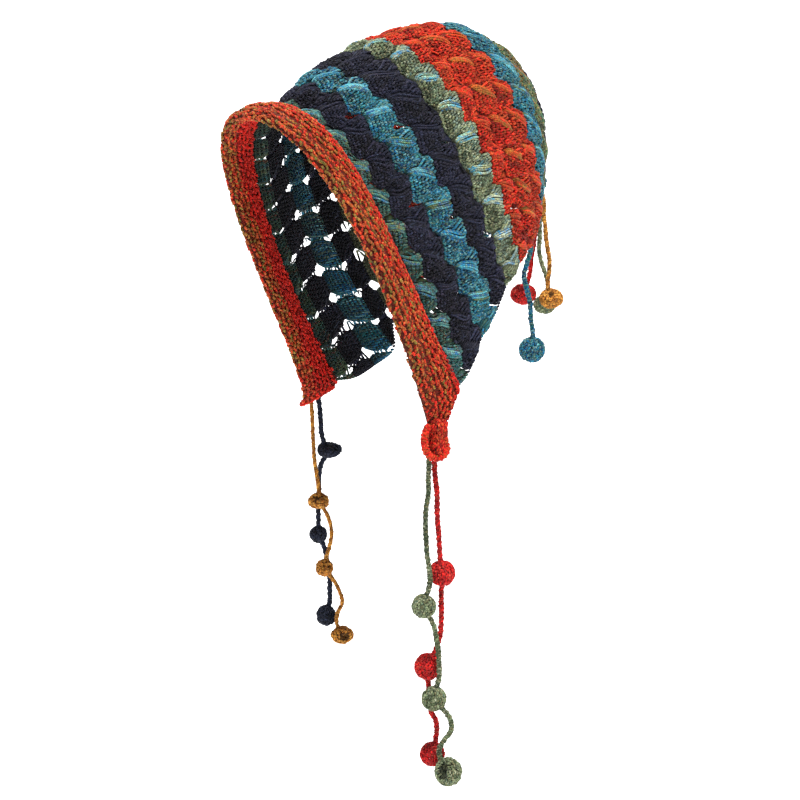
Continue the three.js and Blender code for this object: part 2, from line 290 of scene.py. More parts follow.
def eyelet_pull(k, v):
    """How near a place is to an eyelet, from 0 to 1, and that eyelet's half width, in wales."""
    nearest = np.round(k)
    which = np.abs(v[..., None] - EYELET_EDGES).argmin(-1)
    away = (v - EYELET_EDGES[which]) * depth_at(wale(nearest, v), v) / EYELET_REACH
    near = nearness(nearest)
    wide = EYELET_FAR[which] * (1 - near) + EYELET_NEAR[which] * near
    return np.exp(-(away**2)), wide * vary(0.7, nearest, EYELET_EDGES[which] * 2)


def around_eyelets(k, v):
    """k, in wales, moved sideways where an eyelet spreads the fabric."""
    k, v = together(k, v)
    side = k - np.round(k)
    pull, wide = eyelet_pull(k, v)
    return k + np.sign(side) * wide * pull * (1 - np.abs(side) / 0.5)


# Yarn is laid as closed tubes with tapered ends, gathered into one mesh for each piece. Each point has
# five facts: how far along its strand it is, the cosine and sine of its place round it, the strand's lot,
# which varies its colour, and its tone, from the body's colours at 0 to the bands' at 1. A tone below
# zero marks yarn that lies deep, which the material paints darker as painted shade. A strand starts
# anywhere along its yarn, up to the run's shift.
PAINTED_SHADE_TONE = -1.0
RUN_SHIFT = 40


def strand_faces(rings, sides):
    """Quads of a tube of rings, then the triangles of its two tips, for one strand's own points."""
    index = 1 + np.arange(rings * sides).reshape(rings, sides)
    onward = np.roll(index, -1, axis=1)
    quads = np.stack([onward[:-1], index[:-1], index[1:], onward[1:]], -1).reshape(-1, 4)
    last = 1 + rings * sides
    start_tip = np.stack([np.zeros(sides, int), index[0], onward[0]], 1)
    end_tip = np.stack([np.full(sides, last), onward[-1], index[-1]], 1)
    return quads, np.concatenate([start_tip, end_tip])


def closed_tube(rings, sides):
    """Quads of a tube of rings of points, with quads across both its ends."""
    index = np.arange(rings * sides).reshape(rings, sides)
    onward = np.roll(index, -1, axis=1)
    quads = [np.stack([index[:-1], index[1:], onward[1:], onward[:-1]], -1).reshape(-1, 4)]
    for ring, way in ((index[0], 1), (index[-1], -1)):
        for j in range(sides // 2 - 1):
            quads.append([[ring[j], ring[j + 1], ring[sides - 2 - j], ring[sides - 1 - j]][::way]])
    return np.concatenate(quads)


def stray(*shape):
    """Random numbers from -0.5 to 0.5."""
    return RANDOM.random(shape) - 0.5


class Yarn:
    """The yarn of one piece: its points, faces and facts."""

    def __init__(self):
        self.parts = []
        self.count = 0

    def add(self, points, quads, facts, tips=np.zeros((0, 3), int)):
        self.parts.append((points, quads + self.count, tips + self.count, facts))
        self.count += len(points)

    def add_shaded_core(self, points, lot, along=0, around=0):
        """Adds the closed form under the stitches, from its rings of points, in the below-zero tone that
        the material paints darker as painted shade.
        """
        rings, sides, _ = points.shape
        facts = np.zeros((rings, sides, 5), np.float32)
        for k, fact in ((0, along), (1, around), (3, lot), (4, PAINTED_SHADE_TONE)):
            facts[..., k] = fact
        self.add(points.reshape(-1, 3), closed_tube(rings, sides), facts.reshape(-1, 5))

    def lay(self, lines, ups, radius, sides=5, tone=0.0, lot=None):
        """Adds strands: lines is (strands, points, 3), its first and last points being the tips."""
        lines = np.asarray(lines, float)
        n, k, _ = lines.shape
        if n == 0:
            return
        along = unit(np.gradient(lines, axis=1))
        across = unit(np.cross(along, np.broadcast_to(np.asarray(ups, float), lines.shape)))
        out = np.cross(across, along)
        turn = np.arange(sides) * 2 * math.pi / sides
        radius = np.broadcast_to(np.asarray(radius, float), (n, k))[:, 1:-1, None, None]
        ring = across[:, 1:-1, None] * np.cos(turn)[:, None] + out[:, 1:-1, None] * np.sin(turn)[:, None]
        rings = lines[:, 1:-1, None] + ring * radius
        points = np.concatenate([lines[:, :1], rings.reshape(n, -1, 3), lines[:, -1:]], 1)
        run = np.cumsum(np.linalg.norm(np.diff(lines, axis=1), axis=2), 1)
        run = np.concatenate([np.zeros((n, 1)), run], 1)
        if lot is None:
            lot = RANDOM.random(n)
        run = run + RANDOM.random((n, 1)) * RUN_SHIFT
        facts = np.zeros((n, points.shape[1], 5), np.float32)
        facts[:, 0, 0] = run[:, 0]
        facts[:, -1, 0] = run[:, -1]
        facts[:, 1:-1, 0] = np.repeat(run[:, 1:-1], sides, 1)
        facts[:, 1:-1, 1] = np.tile(np.cos(turn), k - 2)
        facts[:, 1:-1, 2] = np.tile(np.sin(turn), k - 2)
        facts[:, :, 3] = np.broadcast_to(lot, (n,))[:, None]
        facts[:, :, 4] = np.broadcast_to(tone, (n,))[:, None]
        quads, tips = strand_faces(k - 2, sides)
        shift = (np.arange(n) * points.shape[1])[:, None, None]
        self.add(points.reshape(-1, 3), (quads + shift).reshape(-1, 4), facts.reshape(-1, 5),
                 (tips + shift).reshape(-1, 3))

    def piece(self, name, slot, *nodes):
        """The yarn's mesh as a piece with the slot's material, which stands for the nodes."""
        points, quads, tips, facts = (np.concatenate(x) for x in zip(*self.parts))
        corners = np.concatenate([quads.ravel(), tips.ravel()])
        starts = np.concatenate([np.arange(len(quads)) * 4, quads.size + np.arange(len(tips)) * 3])
        mesh = bpy.data.meshes.new(name)
        mesh.vertices.add(len(points))
        mesh.vertices.foreach_set("co", (points * METRE).astype(np.float32).ravel())
        mesh.loops.add(len(corners))
        mesh.loops.foreach_set("vertex_index", corners.astype(np.int32))
        mesh.polygons.add(len(starts))
        mesh.polygons.foreach_set("loop_start", starts.astype(np.int32))
        mesh.polygons.foreach_set("use_smooth", np.ones(len(starts), bool))
        mesh.update(calc_edges=True)
        strand = mesh.attributes.new("strand", "FLOAT_VECTOR", "POINT")
        strand.data.foreach_set("vector", np.ascontiguousarray(facts[:, :3]).ravel())
        for k, attribute in ((3, "lot"), (4, "tone")):
            made = mesh.attributes.new(attribute, "FLOAT", "POINT")
            made.data.foreach_set("value", np.ascontiguousarray(facts[:, k]))
        mesh.materials.append(MATERIALS[slot])
        made = bpy.data.objects.new(name, mesh)
        bpy.context.scene.collection.objects.link(made)
        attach(made, "root")
        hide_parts(*nodes)
        return made


# Each cell of the knitting is a puffed patch of stitches under a band of long crossed strands. Where the
# band goes back over the stripe it also goes down it, by the slant, so cells lean against the wales.
# Places across a cell are in wales and places back over it in rows.
CELL_ROW_QUADS = 14
CELL_COLUMNS = 11
FAR_SLIT = 0.05
WIDE_FAR_SLITS = {1: 0.078, 3: 0.074}
NEAR_SLIT = 0.01
YARN_RADIUS = 0.88
SHELL_HEIGHT = -1.4
SHELL_HALF = 0.5
FULL_DEPTH = 18.0
SLANT = 0.46
SLANT_DEPTH = 21
MOST_SLANT = 1.2
UNEVEN = 0.05
HEM_GAP = 0.6
PUFF = 2.3
PUFF_PLACES = (0, 0.07, 0.2, 0.32, 0.6, 0.85, 1)
PUFF_SHAPE = (0.1, 0.45, 0.97, 1.0, 0.72, 0.3, 0.1)
UNDER_SHARE = 0.6
EYELET_PULL = 0.35
EYELET_WIDTH = 0.04
# The stitches: a V's leg and a purl bump, each across half a column, along its row, and up
STITCH_WIDTH = 3.2
STITCH_LENGTH = 2.75
STITCH_RADIUS = 0.8
STITCHED_SHARE = 0.94
COURSE_STITCHES = 3
LEG_ACROSS = np.array([0.1, 0.38, 0.74, 0.84])
LEG_ALONG = (np.array([0, 0.33, 0.72, 1]) - 0.45) * 1.36
LEG_UP = np.array([-0.4, 0.85, 0.7, -0.6])
PURL_ACROSS = np.array([-1.1, -0.4, 0.4, 1.1])
PURL_ALONG = np.array([0.14, -0.1, -0.1, 0.14])
PURL_UP = np.array([0.3, -0.3, -0.3, 0.3])
# The purl bumps inside the hat get a tone below zero, so they are painted darker as painted shade
PURL_SHADE_TONE = -0.3
# The bands: long strands over each cell, and shorter ones that fan out to a peak at its back end
FRONT_STRANDS = 5
BAND_START = 0.06
BAND_SPACING = 0.06
BAND_RADIUS = 0.74
BAND_FOOT = -1.0
BAND_RISE = 2.7
RAGGED_DROP = 0.9
BACK_STRANDS = 5
PEAK_FRONT = 0.4
PEAK_ACROSS = 0.09
PEAK_TONE = 0.4
PEAK_PLACES = (0, 0.25, 0.75, 1)
PEAK_RISE = (0.4, 2.1, 1.6, -0.7)
# How much of each row of cells' bands is in the band's own colours, where not all of it
BAND_TONES = {5: 0.3, 5.3: 0.95, 5.65: 0.5, 9: 0.4, 9.5: 0.8}
BAND_DEPTH = 5
FUZZ_LENGTH = 2.2
FUZZ_RADIUS = 0.075
FUZZ_ALONG = np.array([0, 0.35, 0.7, 1])
HAIRY_FUZZ = 60
FUZZ = 16
# The ladders: single strands across the wale lines
RUNG_SPACING = 2.6
RUNG_REACH = 0.045
RUNG_ACROSS = np.array([-1, -0.4, 0.4, 1])
RUNG_UP = np.array([-0.6, 0.1, 0.1, -0.6])
# The bound edge of the hems
HEM_STITCH = 2.3
HEM_ALONG = np.array([-1.5, -0.6, 0.6, 1.5])
HEM_INWARD = np.array([2.7, 1.3, 0.5, 0.1])
HEM_UP = np.array([-0.4, 0.3, 0.1, -1.4])
HEM_RADIUS = 1.012


def puff(lean, b, size):
    """The fabric's height over its base at lean wales from the band's line and b rows back."""
    rise = np.interp(lean % 1, PUFF_PLACES, PUFF_SHAPE)
    b = np.clip(b, 0, 1)
    return PUFF * size * rise * (4 * b * (1 - b) + 0.2) ** 0.3


class Cell:
    """One cell: its wale, its first and last row, and its own size, slant and fullness."""

    def __init__(self, k, first, last):
        self.k = k
        self.first = first
        self.last = last
        middle = (first + last) / 2
        far, near = hem(middle)
        inside = np.clip(wale(k + 0.5, middle), -far + 1, near - 1)
        self.depth = float(depth_at(inside, np.array(middle))) * (last - first)
        self.size = min(1.0, max(0.3, self.depth / FULL_DEPTH))
        self.width = float(wale(k + 1, middle) - wale(k, middle))
        self.slant = SLANT * min(MOST_SLANT, self.depth / SLANT_DEPTH) * vary(0.28, k, first, 3)
        self.fullness = vary(0.4, k, first, 8)
        self.start = BAND_START + 0.05 * (chance(k, first, 5) - 0.5)
        self.near = float(nearness(k))
        open_slit = WIDE_FAR_SLITS.get(first, FAR_SLIT)
        self.slit = open_slit + (NEAR_SLIT - open_slit) * self.near

    def back(self, b):
        """How many edges back a place b rows back in the cell is."""
        return self.first + (self.last - self.first) * b

    def place(self, a, b, height):
        """Points, normals and whether they lie on the fabric, a wales down and b rows back in the cell."""
        a, b, height = together(a, b, height)
        v = np.clip(self.back(b), 0, LAST_EDGE)
        k = around_eyelets(self.k + a + UNEVEN * np.sin(2.3 * v + 4.1 * (self.k + a)), v)
        pull, wide = eyelet_pull(k, v)
        v = np.clip(toothed(k, v), 0, LAST_EDGE)
        s = wale(k, v)
        far, near = hem(v)
        on = (s > -far + HEM_GAP) & (s < near - HEM_GAP)
        flatter = 1 - EYELET_FLATTENS * pull * np.clip(wide / FULL_EYELET, 0, 1)
        base = puff(a - self.slant * b, b, self.size) * self.fullness * flatter
        points, normals = on_fabric(np.clip(s, -far, near), v, SHELL_HEIGHT + base + height)
        return points, normals, on

    def under(self, a, b):
        """The height of the fabric's inner face, which is less puffed."""
        return -SHELL_HALF - UNDER_SHARE * puff(a - self.slant * b, b, self.size)

    def clear(self, a, b):
        """Whether each strand keeps off the wale lines where there are slits or eyelets."""
        k = self.k + a
        crosses = np.floor(k.min(-1)) != np.floor(k.max(-1))
        pull, wide = eyelet_pull(k, np.clip(self.back(b), 0, LAST_EDGE))
        at_eyelet = ((pull > EYELET_PULL) & (wide > EYELET_WIDTH)).any(-1)
        return ~(crosses & (at_eyelet | (self.near < 0.5)))

    def lay(self, yarn, a, b, height, radius, inner=False, **facts):
        """Lays strands given by rows of places, leaving out those that are off the fabric."""
        a, b, height = together(a, b, height)
        points, normals, on = self.place(a, b, height)
        kept = on.all(-1) & self.clear(a, b)
        facts = {key: fact[kept] if np.ndim(fact) else fact for key, fact in facts.items()}
        yarn.lay(points[kept], -normals[kept] if inner else normals[kept], radius, **facts)


def stripe_cells(index):
    rows = CELL_ROWS[index]
    spots = np.linspace(0.1, 0.9, 5)
    for first, last in zip(rows[:-1], rows[1:]):
        far, near = hem(np.array([first, last]))
        lowest = int(-far.max() / FAR_WALE_PITCH) - 3
        highest = int(near.max() / WALE_PITCH) + 2
        for k in range(lowest, highest + 1):
            cell = Cell(k, first, last)
            if cell.place(spots[:, None], spots, 0)[2].sum() >= 2:
                yield cell


def fabric_strip(cell):
    """The thin fabric of one cell between its two wale lines, closed all round."""
    trim = 0.15 / max(cell.depth, 1)
    lines = np.linspace(cell.slit, 1 - cell.slit, CELL_COLUMNS)
    a, b = np.meshgrid(lines, np.linspace(trim, 1 - trim, CELL_ROW_QUADS + 1))
    top, _, on = cell.place(a, b, SHELL_HALF)
    under = cell.place(a, b, cell.under(a, b))[0]
    rows, columns = a.shape
    index = np.arange(rows * columns).reshape(rows, columns)
    corners = (index[:-1, :-1], index[:-1, 1:], index[1:, 1:], index[1:, :-1])
    flat = np.stack([c.ravel() for c in corners], 1)
    kept = flat[on.ravel()[flat].sum(1) >= 2]
    if len(kept) == 0:
        return None
    edges = np.concatenate([kept[:, [i, (i + 1) % 4]] for i in range(4)])
    seen = {(i, j) for i, j in edges.tolist()}
    rim = np.array([(i, j) for i, j in seen if (j, i) not in seen])
    half = rows * columns
    walls = np.stack([rim[:, 1], rim[:, 0], rim[:, 0] + half, rim[:, 1] + half], 1)
    quads = np.concatenate([kept, kept[:, ::-1] + half, walls])
    used, quads = np.unique(quads, return_inverse=True)
    facts = np.zeros((2, rows, columns, 5), np.float32)
    facts[..., 0] = (cell.k + a) * cell.width
    facts[..., 1] = b * cell.depth
    facts[..., 2] = np.array([1, -1])[:, None, None]
    facts[..., 3] = 0.5
    # The shell under and between the stitches gets the below-zero tone, so it is painted darker as painted
    # shade
    facts[..., 4] = PAINTED_SHADE_TONE
    points = np.concatenate([top.reshape(-1, 3), under.reshape(-1, 3)])
    return points[used], quads.reshape(-1, 4), facts.reshape(-1, 5)[used]


def front_band(cell, yarn, ragged):
    """Long strands, side by side, that slant over the cell from its front edge to its back edge."""
    t = np.linspace(0, 1, 10)
    i = np.arange(FRONT_STRANDS)[:, None]
    jitter = chance(cell.k, cell.first * 7, i) - 0.5
    aside = (0.07 + 0.2 * ragged) * jitter
    a = cell.start + (BAND_SPACING + 0.05 * ragged) * i + cell.slant * t + aside * np.sin(math.pi * t)
    b = 0.02 + 0.02 * i + (1.02 - 0.02 * i) * t + 0.05 * jitter
    bow = np.sin(math.pi * np.clip(t, 0.02, 0.98)) ** 0.5
    rise = BAND_RISE - RAGGED_DROP * ragged + 0.4 * (1 - abs(i - 1.0) / 2) + 1.0 * jitter
    lot = chance(cell.k, cell.first * 3, np.arange(FRONT_STRANDS) + 20)
    tone = BAND_TONES.get(cell.first, 1.0)
    cell.lay(yarn, a, b, BAND_FOOT + rise * bow, BAND_RADIUS, tone=tone, lot=lot)


def back_band(cell, yarn):
    """The strands that cross under the band and fan out to a peak above its back end."""
    t = np.linspace(0, 1, 7)
    i = np.arange(BACK_STRANDS)[:, None]
    share = i / (BACK_STRANDS - 1)
    jitter = chance(cell.k, cell.first * 5, i + 9) - 0.5
    start_b = PEAK_FRONT + 0.5 * share
    start_a = cell.slant * start_b + PEAK_ACROSS
    end_a = PEAK_ACROSS + (cell.slant - 0.06) * share**0.8 + 0.03 * jitter
    end_b = 1.01 + 0.02 * share
    a = start_a + (end_a - start_a) * t
    b = start_b + (end_b - start_b) * t
    height = np.interp(t, PEAK_PLACES, PEAK_RISE) + 0.8 * jitter
    lot = chance(cell.k, cell.first * 3, np.arange(BACK_STRANDS) + 40)
    tone = PEAK_TONE * BAND_TONES.get(cell.first, 1.0) ** 2
    cell.lay(yarn, a, b, height, YARN_RADIUS, tone=tone, lot=lot)


def stitches(cell, yarn):
    """Columns of V stitches over the puffed patch, and purl bumps on its wrong side."""
    count = max(3, round(cell.width * STITCHED_SHARE / STITCH_WIDTH))
    rows = max(2, round(cell.depth / STITCH_LENGTH))
    half = STITCHED_SHARE / count / 2
    column = (1 - STITCHED_SHARE) / 2 + half * (2 * np.arange(count) + 1)
    column, row = (x.ravel() for x in np.meshgrid(column, (np.arange(rows) + 0.5) / rows))
    shown = column >= BAND_START + BAND_SPACING * (FRONT_STRANDS - 1.2)
    column = column + cell.slant * row
    # Colour runs along the yarn, so neighbouring stitches of a row share it
    course = chance(cell.k * 3 + np.floor(row * rows / COURSE_STITCHES), cell.first * 5)
    lot = np.clip(0.5 + 0.7 * (course - 0.5) + 0.9 * stray(len(row)), 0, 1)
    for side in (-1, 1):
        a = column[shown, None] + side * half * LEG_ACROSS
        b = row[shown, None] + LEG_ALONG / rows
        height = SHELL_HALF + LEG_UP + stray(*a.shape) * 0.6 + 1.1 * stray(len(a), 1)
        cell.lay(yarn, a, b, height, STITCH_RADIUS, sides=4, tone=0.2 * course[shown], lot=lot[shown])
    a = column[:, None] + half * PURL_ACROSS
    b = row[:, None] + PURL_ALONG / rows
    height = cell.under(a, b) + PURL_UP
    # The purl bumps on the wrong side carry painted shade through their tone
    cell.lay(yarn, a, b, height, YARN_RADIUS, inner=True, sides=4, tone=PURL_SHADE_TONE, lot=lot)


def fuzz(cell, yarn, count):
    """Loose fine fibres that stand off the stitches."""
    a = RANDOM.random((count, 1))
    b = RANDOM.random((count, 1))
    turn = RANDOM.random((count, 1)) * 2 * math.pi
    reach = FUZZ_LENGTH * (0.5 + RANDOM.random((count, 1)))
    bend = turn + 0.9 * stray(count, 1) * FUZZ_ALONG
    a = a + reach / cell.width * np.cos(bend) * FUZZ_ALONG
    b = np.clip(b + reach / cell.depth * np.sin(bend) * FUZZ_ALONG, -0.1, 1.1)
    rise = 0.5 + 1.5 * RANDOM.random((count, 1))
    height = SHELL_HALF + 0.4 + rise * FUZZ_ALONG * (1.4 - 0.5 * FUZZ_ALONG)
    cell.lay(yarn, a, b, height, FUZZ_RADIUS, sides=3, tone=1.0)


def ladder(cell, yarn):
    """Single strands across the wale line, with slits between them."""
    rungs = max(2, round(cell.depth / RUNG_SPACING))
    b = (np.arange(rungs) + 0.35) / rungs
    pull, wide = eyelet_pull(np.full(rungs, float(cell.k)), cell.back(b))
    b = b[(pull < 0.25) | (wide < 0.03)]
    b = b + 0.4 / rungs * (chance(cell.k, b * 9) - 0.5)
    thin = 0.62 + 0.6 * chance(cell.k, cell.first, b * 5)
    thick = YARN_RADIUS * (thin + 0.4 * cell.near)
    points, normals, on = cell.place((cell.slit + RUNG_REACH) * RUNG_ACROSS, b[:, None], RUNG_UP)
    kept = on.all(1)
    yarn.lay(points[kept], normals[kept], thick[kept, None], tone=0.2)


def hem_edge(index, yarn):
    """The bound edge of one stripe along both hems, as a row of slanting stitches."""
    def at_hem(v, side, inward):
        far, near = hem(v)
        return np.where(side < 0, -far, near) - side * inward

    v = np.linspace(index + 0.01, index + 0.99, 200)
    for side in (-1, 1):
        lengths = arc_lengths(on_fabric(at_hem(v, side, 0.9), v, 0)[0])
        count = int(lengths[-1] / HEM_STITCH)
        spot = np.interp((np.arange(count) + 0.5) / count * lengths[-1], lengths, v)
        spots = spot[:, None] + HEM_ALONG / lengths[-1]
        points, normals = on_fabric(at_hem(spots, side, HEM_INWARD), spots, HEM_UP)
        yarn.lay(points, normals, HEM_RADIUS, tone=0.3)


STRIPES = (
    ("knit_moss", "moss_yarn"),
    ("knit_charcoal_front", "charcoal_yarn"),
    ("knit_teal_front", "teal_yarn"),
    ("knit_charcoal_middle", "charcoal_yarn"),
    ("knit_sage", "sage_yarn"),
    ("knit_red_crown", "red_yarn"),
    ("knit_teal_crown", "teal_yarn"),
    ("knit_olive_crown", "olive_yarn"),
    ("knit_charcoal_crown", "charcoal_yarn"),
    ("knit_red_back", "red_yarn"),
    ("knit_teal_back", "teal_yarn"),
)


def build_stripe(index, name, slot):
    yarn = Yarn()
    fabric = Yarn()
    hairy = slot == "charcoal_yarn"
    for cell in stripe_cells(index):
        strip = fabric_strip(cell)
        if strip is not None:
            fabric.add(*strip)
        stitches(cell, yarn)
        ladder(cell, yarn)
        if cell.depth > BAND_DEPTH:
            back_band(cell, yarn)
            front_band(cell, yarn, float(hairy))
            fuzz(cell, yarn, HAIRY_FUZZ if hairy else FUZZ)
    hem_edge(index, yarn)
    shell = fabric.piece(f"{name}_fabric", slot, name)
    stitched = yarn.piece(f"{name}_stitches", slot, name)


# Yarn materials: marled plies that twist along each strand, mottled along the fabric, with a soft fuzz,
# and with painted shade in the plies' grooves and on yarn that lies deep
def linear(colour):
    """A hex colour as Blender's linear one."""
    parts = [int(colour[i : i + 2], 16) / 255 for i in (1, 3, 5)]
    return tuple(p / 12.92 if p <= 0.04045 else ((p + 0.055) / 1.055) ** 2.4 for p in parts) + (1.0,)


def put(tree, kind, inputs=(), **settings):
    made = tree.nodes.new(kind)
    for name, value in settings.items():
        setattr(made, name, value)
    for name, value in dict(inputs).items():
        if isinstance(value, bpy.types.NodeSocket):
            tree.links.new(value, made.inputs[name])
        else:
            made.inputs[name].default_value = value
    return made


def mixed(tree, share, first, second, blend="MIX"):
    made = put(tree, "ShaderNodeMix", {0: share, 6: first, 7: second}, data_type="RGBA", blend_type=blend)
    return made.outputs[2]


def ramp(tree, value, colours):
    made = put(tree, "ShaderNodeValToRGB", {"Fac": value})
    stops = made.color_ramp.elements
    while len(stops) < len(colours):
        stops.new(0.5)
    for i, colour in enumerate(colours):
        stops[i].position = i / (len(colours) - 1)
        stops[i].color = linear(colour)
    return made.outputs["Color"]


def noise(tree, vector, scale, detail=2.0):
    inputs = {"Vector": vector, "Scale": scale, "Detail": detail}
    return put(tree, "ShaderNodeTexNoise", inputs).outputs[0]


# How dark the painted shade on yarn that lies deep is
PAINTED_SHADE_DARKNESS = 0.23
LEAST_DARK = 0.1
SPECKS = 0.6
SPECK_SCALE = 760.0
SPECK_HUE_SCALE = 410.0
NAP_SCALE = 1050.0
PATCH_SCALE = 34.0


def yarn_material(
    name, body, band, flecks, fleck_share=0.5, mottle=1.0, twist=3.3, lots=0.8, ply=0.6, nap=1.5,
    band_specks=SPECKS,
):
    material = bpy.data.materials.new(name)
    material.use_nodes = True
    tree = material.node_tree
    tree.nodes.clear()

    def calc(operation, *values):
        return put(tree, "ShaderNodeMath", dict(enumerate(values)), operation=operation).outputs[0]

    def spread(value, gain, onto=0.5):
        return calc("MULTIPLY_ADD", calc("SUBTRACT", value, 0.5), gain, onto)

    def along_strand(scale, lot_scale, layer=0.0):
        inputs = {"X": calc("MULTIPLY", along, scale), "Y": calc("MULTIPLY", lot, lot_scale), "Z": layer}
        return put(tree, "ShaderNodeCombineXYZ", inputs).outputs[0]

    def over(value, start, end):
        inputs = {"Value": value, "From Min": start, "From Max": end}
        return put(tree, "ShaderNodeMapRange", inputs).outputs[0]

    strand = put(tree, "ShaderNodeAttribute", attribute_name="strand").outputs["Vector"]
    lot = put(tree, "ShaderNodeAttribute", attribute_name="lot").outputs["Fac"]
    tone = put(tree, "ShaderNodeAttribute", attribute_name="tone").outputs["Fac"]
    along, cosine, sine = put(tree, "ShaderNodeSeparateXYZ", {"Vector": strand}).outputs
    place = put(tree, "ShaderNodeTexCoord").outputs["Object"]
    shade = spread(noise(tree, place, PATCH_SCALE), 1.7 * mottle)
    shade = spread(noise(tree, along_strand(0.09, 53.0), 1.0), 1.6, shade)
    shade = spread(lot, lots, shade)
    colour = mixed(tree, tone, ramp(tree, shade, body), ramp(tree, shade, band))
    # The second ply winds round the first
    phase = calc("MULTIPLY", along, 2 * math.pi / twist)
    wound = calc("SUBTRACT", calc("MULTIPLY", cosine, calc("COSINE", phase)),
                 calc("MULTIPLY", sine, calc("SINE", phase)))
    fleck = noise(tree, along_strand(0.22, 91.0, 7.0), 1.0, 1.0)
    there = over(fleck, 0.62 - 0.3 * fleck_share, 0.7 - 0.3 * fleck_share)
    share = calc("MULTIPLY", calc("MULTIPLY", over(wound, 0.0, 0.35), there), ply)
    most = calc("MULTIPLY_ADD", calc("MAXIMUM", tone, 0.0), band_specks - SPECKS, SPECKS)
    share = calc("MULTIPLY", share, calc("DIVIDE", most, SPECKS))
    colour = mixed(tree, share, colour, ramp(tree, spread(fleck, 2.6), flecks))
    # Short specks of the flecks' colours lie all over the yarn
    specks = over(noise(tree, place, SPECK_SCALE, 1.0), 0.53, 0.62)
    hue = spread(noise(tree, place, SPECK_HUE_SCALE, 1.0), 3.0)
    colour = mixed(tree, calc("MULTIPLY", specks, most), colour, ramp(tree, hue, flecks))
    fibres = noise(tree, place, NAP_SCALE, 3.0)
    # The grooves between the plies are painted darker as painted shade; the same groove shape also raises
    # the bump
    groove = calc("POWER", calc("ABSOLUTE", wound), 0.6)
    shade_and_lightness = calc("MULTIPLY_ADD", groove, 0.7, 0.42)
    # Each strand has its own lightness
    own = calc("FRACT", calc("MULTIPLY", lot, 57.0))
    shade_and_lightness = calc("MULTIPLY", shade_and_lightness, calc("MULTIPLY_ADD", own, 0.7, 0.72))
    shade_and_lightness = calc("MAXIMUM", spread(fibres, nap, shade_and_lightness), LEAST_DARK)
    # Yarn with a tone below zero, under the stitches, inside the hat, in the cores and in the balls'
    # hollows, is painted darker as painted shade
    under = calc("LESS_THAN", tone, -0.1)
    shade_and_lightness = calc("MULTIPLY", shade_and_lightness, calc("MULTIPLY_ADD", under, PAINTED_SHADE_DARKNESS - 1, 1.0))
    grey = put(tree, "ShaderNodeCombineColor", {"Red": shade_and_lightness, "Green": shade_and_lightness, "Blue": shade_and_lightness}).outputs[0]
    colour = mixed(tree, 1.0, colour, grey, "MULTIPLY")
    height = calc("MULTIPLY_ADD", fibres, 0.6, groove)
    bump = put(tree, "ShaderNodeBump", {"Height": height, "Strength": 0.8, "Distance": 0.0003})
    shader = put(tree, "ShaderNodeBsdfPrincipled", {
        "Base Color": colour, "Roughness": calc("MULTIPLY_ADD", fibres, 0.25, 0.72),
        "Normal": bump.outputs[0], "Sheen Weight": 0.05, "Sheen Roughness": 0.4,
        "Specular IOR Level": 0.2,
    })
    output = put(tree, "ShaderNodeOutputMaterial")
    tree.links.new(shader.outputs[0], output.inputs["Surface"])
    return material


MATERIALS = {
    "moss_yarn": yarn_material(
        "moss_yarn",
        ("#121f1f", "#203a30", "#324a2e", "#4c5636", "#1d4452", "#2d625a"),
        ("#226570", "#6c9686", "#1f5a8a", "#6c7e4e", "#357476"),
        ("#743a26", "#72886e", "#326c64", "#142e52", "#6c2e20"), 0.7),
    "charcoal_yarn": yarn_material(
        "charcoal_yarn",
        ("#06070e", "#0c0e18", "#131626", "#1f2338"),
        ("#10121e", "#191d30", "#141728"),
        ("#30344a", "#342a38", "#303a4c"), 0.5, nap=1.7),
    "teal_yarn": yarn_material(
        "teal_yarn",
        ("#08223c", "#0b4264", "#105a86", "#145a60", "#1f7494"),
        ("#0e5a8a", "#2a80a0", "#66aab2", "#144a86", "#5f6f44"),
        ("#0b2650", "#3a9c90", "#665f34", "#78b4ba"), 0.7),
    "sage_yarn": yarn_material(
        "sage_yarn",
        ("#38442f", "#5a684a", "#808b68", "#4b6050"),
        ("#86b29c", "#2a86aa", "#a0a472", "#1c70a2", "#aab69c"),
        ("#a6aa8c", "#28352f", "#766a44", "#b2b69c"), 0.6),
    "red_yarn": yarn_material(
        "red_yarn",
        ("#860c09", "#b6160e", "#ce2014", "#ae140d", "#b63018"),
        ("#b04018", "#946826", "#c83416", "#826c2a", "#c02816"),
        ("#e4583a", "#9c6a2a", "#600b0a", "#e83c26"), 0.6),
    "olive_yarn": yarn_material(
        "olive_yarn",
        ("#34442c", "#4c5a34", "#40603f", "#6a5c2e"),
        ("#708046", "#4f8060", "#985828"),
        ("#a83c22", "#24606a", "#c0a25a"), 0.6),
    "brim_yarn": yarn_material(
        "brim_yarn",
        ("#b6140f", "#ba1c12", "#bc2814", "#a83a18", "#965020", "#80642a", "#686026"),
        ("#b4120c", "#c41a12", "#a0100c", "#ba1e10"),
        ("#d67a50", "#86782c", "#6c160c", "#cc4c2c", "#988438"), 0.75, mottle=0.35, lots=1.15,
        nap=1.2, band_specks=0.1),
    "mustard_yarn": yarn_material(
        "mustard_yarn", ("#84501c", "#b4762a", "#cc923e", "#985f22"), ("#b87c2c", "#9e661e"),
        ("#dca85c", "#5a3412", "#bc6c26"), 0.6),
    "navy_yarn": yarn_material(
        "navy_yarn", ("#0a0e17", "#131824", "#1d2333"), ("#1d2333", "#131824"),
        ("#343c54", "#242434"), 0.5),
    "scarlet_yarn": yarn_material(
        "scarlet_yarn", ("#8c0a12", "#b81416", "#d0221e", "#a01016"), ("#d0221e", "#bc1618"),
        ("#dc4030", "#640816", "#b4503c"), 0.5),
}


